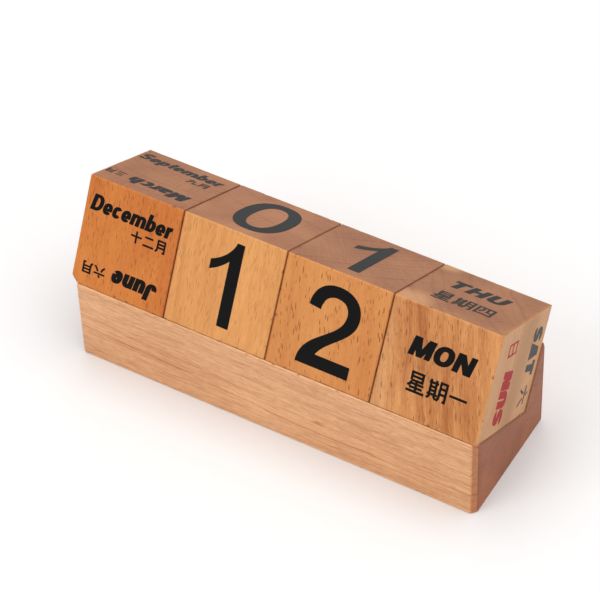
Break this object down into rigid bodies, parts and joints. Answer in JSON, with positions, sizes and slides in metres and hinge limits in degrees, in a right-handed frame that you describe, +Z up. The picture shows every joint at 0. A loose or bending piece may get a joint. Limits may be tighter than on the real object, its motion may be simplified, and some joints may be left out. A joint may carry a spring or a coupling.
{
  "type": "flip desk calendar",
  "caption": "Wooden perpetual desk calendar: a long block with a leaning trough that holds loose month, day and weekday blocks in a row.",
  "frame": {"origin": "centre of the base's underside, on the surface that the calendar stands on", "axes": "+X along the row to the reader's right, -Y towards the reader, +Z up"},
  "size_m": [0.1981, 0.0677, 0.0875],
  "materials": {
    "beech_base": "satin",
    "beech_month": "satin",
    "beech_tens": "satin",
    "beech_units": "satin",
    "beech_weekday": "satin",
    "black_ink": "satin",
    "red_ink": "satin"
  },
  "bodies": {
    "base": {"base_block": "beech_base"},
    "month": {"month_block": "beech_month"},
    "tens": {"tens_cube": "beech_tens"},
    "units": {"units_cube": "beech_units"},
    "weekday": {"weekday_cube": "beech_weekday"}
  },
  "joints": [
    {"name": "month_lift", "type": "slide", "parent": "base", "child": "month", "axis": [0, 0, 1], "range_m": [0, 0.07]},
    {"name": "tens_lift", "type": "slide", "parent": "base", "child": "tens", "axis": [0, 0, 1], "range_m": [0, 0.07]},
    {"name": "units_lift", "type": "slide", "parent": "base", "child": "units", "axis": [0, 0, 1], "range_m": [0, 0.07]},
    {"name": "weekday_lift", "type": "slide", "parent": "base", "child": "weekday", "axis": [0, 0, 1], "range_m": [0, 0.07]}
  ]
}
